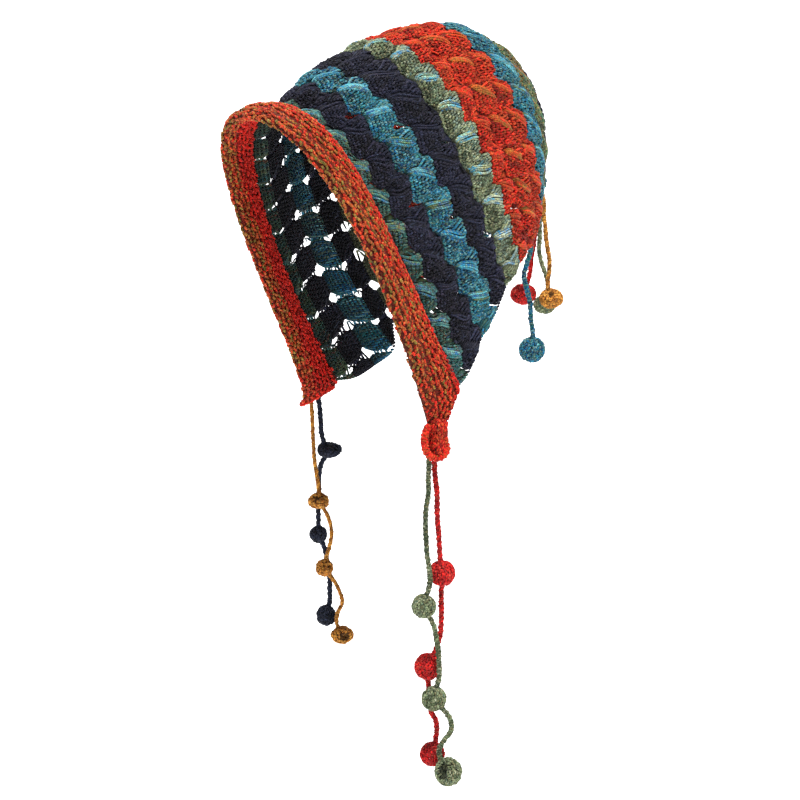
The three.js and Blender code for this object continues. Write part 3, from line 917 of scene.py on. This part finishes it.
# The brim: a padded roll between the fabric's front edge and the lip, covered in rows of purl bumps
BRIM_STATIONS = 110
BRIM_GAP = 0.6
LIP_ROLL = 3.5
BRIM_OUTER_BULGE = 6.0
BRIM_INNER_BULGE = 3.0
BRIM_TIP_THINNING = 0.3
BRIM_COVER = 0.9
BRIM_CORE_SIDES = 20
BRIM_CORE_LOT = 0.25
STATION_RUN = 2.4
BUMP_PITCH = 3.4
BUMP_ROW = 2.15
BUMP_RADIUS = 1.03
BUMP_ARC = np.array([-0.3, 0.3, 0.3, -0.3])
BUMP_LEAN = np.array([1.3, 0.585, -0.585, -1.3])
BUMP_ALONG = np.array([-1, -0.42, 0.42, 1]) * BUMP_PITCH * 0.6
BUMP_UP = np.array([-0.8, 0.8, 0.8, -0.8])
RED_TIP = 16
RED_OUTER = 0.12
RED_INNER = 0.62
CREASE_ROW = 9.5
CREASE_DEPTH = 1.3
CREASE_WIDTH = 1.3
CAST_OFF_STEP = 0.32
CAST_OFF_ALONG = np.array([-1.2, -0.4, 0.5, 1.3])
CAST_OFF_UP = np.array([-0.6, 1.0, 1.2, -0.6])
CAST_OFF_RADIUS = BUMP_RADIUS * 1.25


def brim_rings():
    """Each station's centre, ways across and out, half width, and thinning toward the flap tips."""
    near, far = edge_line(EDGE_ROWS[0])
    near = np.concatenate([near, np.array([NEAR_BRIM_END], float)])
    far = np.concatenate([far, np.array([FAR_BRIM_END], float)])
    root = both_sides(near, far, BRIM_STATIONS)
    top = (LIP["apex_y"], LIP["apex_z"], LIP["shoulder"])
    near, far = (
        half_arch(*top, [LIP[f"{side}_{axis}"] for axis in "xyz"], LIP[f"{side}_cheek"],
                  LIP[f"{side}_rise"], way)
        for side, way in (("near", 1), ("far", -1))
    )
    across = both_sides(near, far, BRIM_STATIONS) - root
    reach = np.linalg.norm(across, axis=1, keepdims=True)
    across = across / reach
    half = (reach - BRIM_GAP + LIP_ROLL) / 2
    out = unit(np.cross(across, np.gradient(root, axis=0)))
    centre = root + across * (BRIM_GAP + half)
    thinning = 1 - BRIM_TIP_THINNING * np.abs(np.arange(len(root)) / BRIM_STATIONS - 1)[:, None] ** 4
    return np.concatenate([centre, across, out, half, thinning], 1)


BRIM = brim_rings()
LAST_STATION = len(BRIM) - 1.001


def on_brim(station, angle, height):
    """A point of the roll and its outward normal, at an angle from the lip round its outer side."""
    station, angle, height = together(station, angle, height)
    at = np.clip(station, 0, LAST_STATION)
    i = at.astype(int)
    f = (at - i)[..., None]
    ring = BRIM[i] * (1 - f) + BRIM[i + 1] * f
    centre, across, out, half, thinning = np.split(ring, [3, 6, 9, 10], axis=-1)
    cosine = np.cos(angle)[..., None]
    sine = np.sin(angle)[..., None]
    bulge = np.where(sine > 0, BRIM_OUTER_BULGE, BRIM_INNER_BULGE) * thinning
    normal = unit(across * cosine / half + out * sine / bulge)
    at_fabric = np.maximum(-cosine, 0) ** 4
    inset = height[..., None] - BRIM_COVER + (BRIM_COVER + BRIM_GAP) * at_fabric
    return centre + across * cosine * half + out * sine * bulge + normal * inset, normal


def brim_bumps(yarn):
    """Rows of purl bumps along the roll, on its outer face and then on its inner one."""
    middle = arc_lengths(BRIM[:, :3])
    stations = np.arange(len(BRIM))
    angles = np.linspace(math.pi, 0, 60)
    count = int(middle[-1] / BUMP_PITCH)
    for side in (1, -1):
        face = on_brim(stations[:, None], side * angles, 0)[0]
        lengths = np.array([arc_lengths(section) for section in face])
        for row in range(int(lengths[:, -1].max() / BUMP_ROW)):
            away = (row + 0.5) * BUMP_ROW
            at = (np.arange(count) + 0.25 + 0.5 * (row % 2)) / count * middle[-1]
            spot = np.interp(at + stray(count) * 1.5, middle, stations)
            spot = spot[np.interp(spot, stations, lengths[:, -1]) > away + 0.2 * BUMP_ROW]
            n = len(spot)
            spots = spot[:, None] + BUMP_ALONG / (middle[-1] / stations[-1])
            # One row's stitches arch one way and the next row's the other
            arch = BUMP_ARC * (1 if row % 2 else -1)
            shift = arch + BUMP_LEAN * stray(n, 1) + 0.7 * stray(n, 1)
            shift = shift + 0.3 * np.sin(1.3 * spot + 2.1 * row)[:, None]
            row_away = np.clip(away + shift * BUMP_ROW, 0.1, None)
            nearest = np.clip(spots, 0, LAST_STATION).astype(int)[:, 1]
            turned = np.empty_like(spots)
            for i, station in enumerate(nearest):
                turned[i] = np.interp(row_away[i], lengths[station], side * angles)
            height = BUMP_UP + stray(n, 1)
            if side > 0:
                height = height - CREASE_DEPTH * np.exp(-(((row - CREASE_ROW) / CREASE_WIDTH) ** 2))
            points, normals = on_brim(spots, turned, height)
            share = away / np.interp(spot, stations, lengths[:, -1])
            olive = 0.2 + 0.4 * share if side > 0 else 0.08 + 0.6 * share**2
            # The flap tips have less olive
            olive = olive * np.clip(np.minimum(spot, stations[-1] - spot) / RED_TIP, 0.4, 1)
            run = 0.22 * np.sin(spot * 0.31 + row * 2.1) + 0.55 * stray(n)
            tone = np.where(share < (RED_OUTER if side > 0 else RED_INNER), 1.0, 0.0)
            yarn.lay(points, normals, BUMP_RADIUS, sides=4, tone=tone, lot=olive + run)


def cast_off_rows(yarn):
    """The bright bound stitches across the roll's two ends, at the flap tips."""
    angle = np.arange(0, 2 * math.pi, CAST_OFF_STEP)[:, None] + 0.16 * CAST_OFF_ALONG
    for station, way in ((0.6, -1), (len(BRIM) - 1.6, 1)):
        points, normals = on_brim(station + way * CAST_OFF_ALONG * 0.7, angle, CAST_OFF_UP)
        yarn.lay(points, normals, CAST_OFF_RADIUS, sides=6, tone=1.0)


def build_brim():
    core = Yarn()
    stations = np.linspace(0, LAST_STATION, BRIM_STATIONS + 1)[:, None]
    turn = np.arange(BRIM_CORE_SIDES) * 2 * math.pi / BRIM_CORE_SIDES
    # The roll's core shows between the bumps, painted darker as painted shade
    core.add_shaded_core(on_brim(stations, turn, 0)[0], BRIM_CORE_LOT, stations * STATION_RUN, turn)
    bumps = Yarn()
    brim_bumps(bumps)
    cast_off_rows(bumps)
    roll = core.piece("brim_roll", "brim_yarn", "brim_band")
    bumps.piece("brim_stitches", "brim_yarn", "brim_band")


# Cords hang from their anchors. A route's points are (across, toward, height): across runs to the
# camera's right and toward comes to it, both from the anchor; height is above the flap tips.
ANCHORS = {"left": (60, 4), "right": (-69, 0.5), "crown": (0, 152)}
CORDS = (
    ("left_red", "left", "scarlet_yarn", 4.6, (
        (-0.5, -1.5, -13), (0, -2, -28), (1.5, -3, -41), (1.5, -3, -51), (2, -3, -62), (3, -3, -73.5),
        (3.5, -3, -83.5), (5, -3, -95.5), (4.5, -3, -108.5), (4.5, -4, -121.5), (4.5, -4, -129.5),
        (3.5, -4, -139.5), (0.5, -4.5, -150), (-4.5, -5, -161), (-4, -6.5, -177), (-2.5, -6.5, -192.5),
        (1, -6, -199.5), (1.5, -6, -206), (0.5, -6, -214), (-1.5, -6, -222.5),
    ), ((7, 18, 18), (13, 18.5, 18.5), (19, 17, 17))),
    ("left_sage", "left", "sage_yarn", 4.4, (
        (-4, 2.5, -12.3), (-4.5, 2.5, -28), (-4.5, 2.5, -39.5), (-6, 3, -49.5), (-6.5, 3, -59),
        (-6, 4, -69.5), (-5.5, 6, -79), (-4, 8, -90.5), (-3.5, 8, -101.5), (-7.5, 7, -116.5),
        (-1, 6, -129.5), (1, 5.5, -139.5), (2.5, 5.5, -148.5), (3, 6, -157.5), (3, 6, -166.5),
        (-0.5, 6, -181), (8, 6, -191), (11, 6, -197), (11, 6, -204), (6, 6, -210.5), (3, 6.5, -217),
        (4.5, 7, -224), (9, 8, -231.5),
    ), ((9, 16.5, 16.5), (15, 17, 17), (22, 18.5, 20))),
    ("right_mustard", "right", "mustard_yarn", 3.6, (
        (-0.5, 1, 9.6), (0, 1, 0), (0.5, 1, -12.5), (1, 1, -21.5), (1.5, 2, -30.5), (3, 2, -42),
        (4.5, 2, -51.5), (4.5, 3, -61), (10, 3, -69.5), (13, 3, -78.5), (13.5, 3, -86), (11.5, 3, -95.5),
        (8.5, 3, -108.5), (15, 3, -117.5), (19, 3, -125.5), (21, 3, -133.5), (17.5, 3, -141.5),
        (17, 3, -148.5), (21, 3, -157),
    ), ((7, 15, 12), (12, 12.5, 12.5), (18, 16, 12.5))),
    ("right_navy", "right", "navy_yarn", 4.4, (
        (4.5, -1, 11.4), (5.5, -1, 4), (6, -2, -5.5), (6.5, -2, -13), (8, -3, -19.5), (11, -3, -25),
        (6, -5, -36), (4.5, -7, -46), (4.5, -8, -57), (4, -8, -68.5), (4, -8, -78.5), (4, -8, -86.5),
        (8.5, -8, -97), (10.5, -7, -107.5), (12, -6, -118.5), (12, -6, -127), (12, -6, -134.5),
        (9.5, -6, -144.5),
    ), ((5, 15, 12), (11, 12.5, 12.5), (17, 14, 15))),
    ("crown_ochre", "crown", "mustard_yarn", 4.0, (
        (2, 2.5, 153.5), (3.5, 3, 145), (3.5, 3, 137.5), (4.5, 4, 129.5), (5, 4, 122.5), (6, 4, 114.5),
        (7.5, 4, 106.5), (7.5, 4, 98), (6.5, 4, 88), (9, 4, 78),
    ), ((9, 17, 14),)),
    ("crown_sage", "crown", "sage_yarn", 4.0, (
        (2, -2, 153.5), (2, -3, 144.5), (1, -4, 136.5), (1, -5, 128.5), (1, -6, 120.5), (0.5, -6, 112),
        (2, -7, 103.5), (5, -9, 95), (7, -11, 87), (5, -13, 71.5),
    ), ((9, 16, 13),)),
    ("crown_teal", "crown", "teal_yarn", 4.4, (
        (-3, 2.5, 152.5), (-2.5, 3, 144.5), (-2, 3, 136.5), (-3.5, 4, 128), (-5, 4, 119.5), (-6, 4, 111),
        (-8.5, 4, 102.5), (-10.5, 6, 94.5), (-8.5, 7, 85.5), (-6, 7, 74.5), (-5.5, 6, 63), (-4, 5, 53),
        (-4.5, 5, 41.5),
    ), ((12, 18.5, 18.5),)),
    ("crown_red", "crown", "scarlet_yarn", 4.0, (
        (-3, -3, 153), (-3, -7, 142.5), (-2, -7, 134), (-2, -9, 124.5), (-3, -10, 115.5),
        (-4.5, -11, 106), (-5.5, -11, 96), (-7, -11, 89), (-10.5, -10, 79.5),
    ), ((8, 18.5, 15),)),
)
CORD_STEP = 1.5
CORD_LEAD = {"left": 1.5, "right": 6.0, "crown": 4.0}
CORD_TURN = 7.5
ROUTE_STEPS = 12
PLIES = 3
PLY_RADIUS = 0.31
PLY_OFFSET = 0.2
PLY_SIDES = 6
CORD_UNEVEN = 0.22
BALL_RINGS = 10
BALL_SIDES = 14
BALL_TILT = 0.35
BALL_CORE_LOT = 0.4
BALL_PITCH = 3.0
BALL_ROW = 2.45
BALL_YARN = 0.92
BALL_COVER = 1.2
BALL_FUZZ = 70
BALL_ACROSS = np.array([0.04, 0.2, 0.38, 0.46])
BALL_ALONG = (np.array([0, 0.33, 0.72, 1]) - 0.45) * 1.75
BALL_UP = np.array([-0.5, 0.55, 0.55, -0.5])
# Stitches that lie deeper in a dent than this share are painted darker as painted shade
SHADED_HOLLOW_SHARE = 0.76


def as_seen(across, toward, up):
    """A level direction, given as across to the camera's right and toward the camera, and up."""
    turn = math.radians(VIEW_AZIMUTH)
    x = across * math.cos(turn) + toward * math.sin(turn)
    y = across * math.sin(turn) - toward * math.cos(turn)
    return np.stack([x, y, up], -1)


def cord_line(anchor, route):
    """The cord's centreline from inside its knot, and the points of its route."""
    knots = as_seen(*np.transpose(np.array(route, float))) + (*ANCHORS[anchor], 0) + SEAT
    line = smooth(knots, ROUTE_STEPS)
    lead = line[0] + unit(line[0] - line[1]) * CORD_LEAD[anchor] * np.linspace(1, 0.2, 5)[:, None]
    line = np.concatenate([lead, line])
    return evenly(line, int(arc_lengths(line)[-1] / CORD_STEP) + 1), knots


def plies(line, diameter):
    """The strands that twist round a centreline."""
    along = unit(np.gradient(line, axis=0))
    side = unit(np.cross(along, (0.3, 0.9, 0.2)))
    for i in range(1, len(line)):
        side[i] = side[i - 1] - along[i] * side[i - 1].dot(along[i])
        side[i] /= np.linalg.norm(side[i])
    other = np.cross(along, side)
    phase = arc_lengths(line) * 2 * math.pi / CORD_TURN
    phase = phase + 0.35 * np.sin(phase / 3.7 + RANDOM.random() * 6)
    strands = []
    ups = []
    for k in range(PLIES):
        angle = (phase + 2 * math.pi * k / PLIES)[:, None]
        out = side * np.cos(angle) + other * np.sin(angle)
        shake = stray(len(line), 1) * 2 * CORD_UNEVEN
        strands.append(line + out * (PLY_OFFSET * diameter + shake))
        ups.append(out)
    return np.array(strands), np.array(ups)


# The balls' dents: each one's direction as across, toward and up, its depth and its width, both as
# shares of the ball's size. A depth below zero is a bulge.
DENTS = {
    "left_sage_ball_3": (
        (-0.45, 0.8, 0.6, 0.5, 0.15), (-0.65, 0.8, 0.1, 0.6, 0.18), (-0.6, 0.8, -0.4, 0.5, 0.12),
        (0.9, 0.5, -0.2, -0.06, 0.5),
    ),
    "left_red_ball_1": ((0.5, 0.6, 0.7, 0.14, 0.1), (-0.4, 0.8, -0.3, 0.08, 0.06)),
    "left_red_ball_2": ((-0.2, 0.9, -0.5, 0.25, 0.08),),
    "left_red_ball_3": ((-0.3, 0.7, 0.5, 0.18, 0.1),),
    "left_sage_ball_1": ((0.4, 0.9, -0.5, 0.22, 0.08), (-0.7, 0.4, 0.7, 0.12, 0.1)),
    "left_sage_ball_2": ((-0.6, 0.6, 0.6, 0.16, 0.1),),
    "right_navy_ball_1": (
        (0.95, 0.2, 0.05, -0.3, 0.25), (0, 0.5, 1, 0.35, 0.25), (0.8, 0.7, 0.5, 0.5, 0.06),
    ),
    "right_navy_ball_2": ((-0.3, 0.7, 0.7, 0.25, 0.12),),
    "right_navy_ball_3": ((0.8, 0.5, 0.3, 0.3, 0.14),),
    "right_mustard_ball_1": ((-0.2, 0.65, 0.75, 0.6, 0.16), (0, 0.2, -1, 0.15, 0.2)),
    "right_mustard_ball_2": ((0.7, 0.7, 0.3, 0.35, 0.12),),
    "right_mustard_ball_3": ((0.35, 0.9, -0.1, 0.75, 0.3),),
    "crown_ochre_ball_1": ((-0.1, 0.7, 0.7, 0.45, 0.16),),
    "crown_sage_ball_1": ((0.2, 0.7, 0.5, 0.25, 0.14),),
    "crown_teal_ball_1": ((0.4, 0.9, -0.3, 0.14, 0.08), (-0.3, 0.3, 1, 0.16, 0.12)),
    "crown_red_ball_1": ((0.4, 0.7, 0.5, 0.3, 0.12),),
}


def dented(name, way):
    """How far the ball's surface is from its middle along a direction, as a share of its own size."""
    share = np.ones(way.shape[:-1])
    for across, toward, up, depth, width in DENTS.get(name, ()):
        away = 1 - way @ unit(as_seen(across, toward, up))
        share = share - depth * np.exp(-((away / width) ** 2))
    return share


def hair_fuzz(yarn, roots, ways):
    """Loose fine fibres that stand off a round piece along the given ways."""
    count = len(roots)
    t = FUZZ_ALONG[:, None]
    lean = unit(RANDOM.normal(size=(count, 1, 3)))
    reach = 1.0 + 1.4 * RANDOM.random((count, 1, 1))
    lines = roots[:, None] + ways[:, None] * (reach * t * (1.2 - 0.5 * t)) + lean * reach * t
    yarn.lay(lines, unit(RANDOM.normal(size=(count, 1, 3))), FUZZ_RADIUS, sides=3, tone=0.6)


def ball(name, centre, size, slot, node, boxy=2.0):
    """A crocheted ball: a closed core, then spiral rows of V stitches on it. More than 2 is boxier."""
    yarn = Yarn()
    half = np.array(size, float) / 2
    tilt = np.array(Matrix.Rotation(RANDOM.random() * 6, 3, "Z") @ Matrix.Rotation(BALL_TILT, 3, "X"))

    def place(theta, phi, height):
        theta, phi, height = together(theta, phi, height)
        level = np.sin(theta)
        way = np.stack([level * np.cos(phi), level * np.sin(phi), np.cos(theta)], -1) @ tilt.T
        reach = (dented(name, way) / (np.abs(way) ** boxy).sum(-1) ** (1 / boxy))[..., None]
        normal = unit(np.sign(way) * np.abs(way) ** (boxy - 1) / half)
        return centre + way * half * reach + normal * (height[..., None] - BALL_COVER), normal, reach

    theta = np.linspace(0.12, math.pi - 0.12, BALL_RINGS)[:, None]
    phi = np.arange(BALL_SIDES) * 2 * math.pi / BALL_SIDES
    # The ball's core shows between its stitches, painted darker as painted shade
    yarn.add_shaded_core(place(theta, phi, 0)[0], BALL_CORE_LOT)
    rows = max(4, round(math.pi * half[2] / BALL_ROW))
    step = math.pi / rows
    for row in range(rows):
        middle = (row + 0.5) * step
        count = max(3, round(2 * math.pi * half[0] * math.sin(middle) / BALL_PITCH))
        wide = 2 * math.pi / count
        spots = ((np.arange(count) + 0.5 * (row % 2)) * wide)[:, None]
        spiral = (step * (np.arange(count) / count - 0.5) * 0.6)[:, None]
        for side in (-1, 1):
            phi = spots + side * wide * BALL_ACROSS + wide * 0.3 * stray(count, 1)
            theta = middle + spiral + step * (BALL_ALONG + 0.25 * stray(count, 1))
            height = BALL_UP + stray(count, 1) * 0.7
            points, normals, reach = place(np.clip(theta, 0.02, math.pi - 0.02), phi, height)
            # Stitches deep in a dent get the below-zero tone, painted darker as painted shade in the
            # hollow
            shaded_hollow = reach.mean((1, 2)) < SHADED_HOLLOW_SHARE
            yarn.lay(points, normals, BALL_YARN, sides=4, tone=np.where(shaded_hollow, PAINTED_SHADE_TONE, 0.0))
    ways = unit(RANDOM.normal(size=(BALL_FUZZ, 3)))
    hair_fuzz(yarn, centre + ways * half * dented(name, ways)[:, None] * 0.9, ways)
    return yarn.piece(f"{name}_crochet", slot, node)


def build_cord(name, anchor, slot, diameter, route, balls):
    line, knots = cord_line(anchor, route)
    yarn = Yarn()
    strands, ups = plies(line, diameter)
    thick = PLY_RADIUS * diameter * (0.9 + 0.2 * RANDOM.random(strands.shape[:2]))
    yarn.lay(strands, ups, thick, sides=PLY_SIDES)
    cord = yarn.piece(f"{name}_cord", slot, *(f"{name}_cord_{i + 1}" for i in range(len(balls))))
    for i, (knot, width, height) in enumerate(balls):
        hung_name = f"{name}_ball_{i + 1}"
        ball(hung_name, knots[knot], (width, width, height), slot, hung_name)


# The knots: a small stitched egg, the tongue, with thick twisted rolls round it. The tongue's offset and
# each roll's points are across, toward and up from the knot's centre.
FLAP_ROLLS = (
    ((-4, 1, 11), (-6.6, 3, 7), (-7.8, 4, 0.5), (-7.2, 4.5, -5.5), (-4.6, 5, -9.6), (-0.3, 5, -11.8),
     (4, 4.5, -10.8), (6.8, 3.5, -7.4), (7, 1.5, -3.6), (5, -2, 0)),
)
CROWN_ROLLS = (
    ((-6, 1, 2), (-3, 4, 3), (3, 4, 2), (6, 0, 1), (3, -4, 2), (-3, -4, 3), (-6.2, 0, 0.5)),
    ((-5, 2, -3), (0, 4.5, -2), (5, 2, -3), (5, -2, -2), (0, -4.5, -3), (-5, -1.5, -3)),
)
# Each knot's name, slot, centre, tongue's offset, size and boxiness, and its rolls and their thickness
KNOTS = (
    ("left_flap_knot", "red_yarn", (61, 4, -3), (1, 0.5, 2), (14.5, 10, 26), 4.0, FLAP_ROLLS, 5.9),
    ("crown_knot", "teal_yarn", (0, 149.6, 161), (0, 0.5, 3.5), (13, 9, 20), 2.0, CROWN_ROLLS, 4.0),
)
ROLL_STEPS = 8
ROLL_STEP = 1.2
ROLL_SIDES = 8


def build_knot(name, slot, centre, tongue, size, boxy, rolls, thick):
    middle = np.array(centre, float) + SEAT
    ball(name, middle + as_seen(*tongue), size, slot, name, boxy)
    yarn = Yarn()
    for roll in rolls:
        line = smooth(as_seen(*np.transpose(np.array(roll, float))) + middle, ROLL_STEPS)
        strands, ups = plies(evenly(line, int(arc_lengths(line)[-1] / ROLL_STEP)), thick)
        yarn.lay(strands, ups, PLY_RADIUS * thick, sides=ROLL_SIDES)
    yarn.piece(f"{name}_roll", slot, name)


FLOOR_LEVEL = -1.2
FLOOR_HALF = 40
FLOOR_PALE = (0.9, 0.9, 0.9, 1)
SKY_SEEN = 1.0
SKY_LIGHT = 0.31
# Each light's name, its direction as across, up and toward the camera, its strength and its spread
SUNS = (
    ("key_light", (0.25, 1.15, 0.55), 5.1, 16),
    ("back_light", (-0.4, 1.0, -0.4), 2.8, 30),
)


def build_floor():
    """A pale floor far below the hanging hat."""
    mesh = bpy.data.meshes.new("floor")
    square = ((-1, -1), (1, -1), (1, 1), (-1, 1))
    corners = [(x * FLOOR_HALF, y * FLOOR_HALF, FLOOR_LEVEL) for x, y in square]
    mesh.from_pydata(corners, [], [(0, 1, 2, 3)])
    material = bpy.data.materials.new("floor_paint")
    material.use_nodes = True
    shader = material.node_tree.nodes["Principled BSDF"]
    shader.inputs["Base Color"].default_value = FLOOR_PALE
    shader.inputs["Roughness"].default_value = 0.9
    mesh.materials.append(material)
    floor = bpy.data.objects.new("floor", mesh)
    bpy.context.scene.collection.objects.link(floor)


def build_lights():
    """A soft white sky, seen brighter than it lights, and two soft suns."""
    world = bpy.data.worlds.new("soft_sky")
    world.use_nodes = True
    tree = world.node_tree
    tree.nodes.clear()
    seen = put(tree, "ShaderNodeLightPath").outputs["Is Camera Ray"]
    level = put(tree, "ShaderNodeMath", {0: seen, 1: SKY_SEEN - SKY_LIGHT, 2: SKY_LIGHT},
                operation="MULTIPLY_ADD").outputs[0]
    sky = put(tree, "ShaderNodeBackground", {"Color": (1, 1, 1, 1), "Strength": level})
    output = put(tree, "ShaderNodeOutputWorld")
    tree.links.new(sky.outputs[0], output.inputs["Surface"])
    bpy.context.scene.world = world
    for name, (across, up, back), strength, angle in SUNS:
        way = view_right * across + view_up * up + view_back * back
        data = bpy.data.lights.new(name, "SUN")
        data.energy = strength
        data.angle = math.radians(angle)
        lamp = bpy.data.objects.new(name, data)
        lamp.rotation_euler = way.to_track_quat("Z", "Y").to_euler()
        bpy.context.scene.collection.objects.link(lamp)
    bpy.context.scene.view_settings.view_transform = "Standard"


for cord in CORDS:
    build_cord(*cord)
for knot in KNOTS:
    build_knot(*knot)
build_brim()
for index, (name, slot) in enumerate(STRIPES):
    build_stripe(index, name, slot)
build_floor()
build_lights()
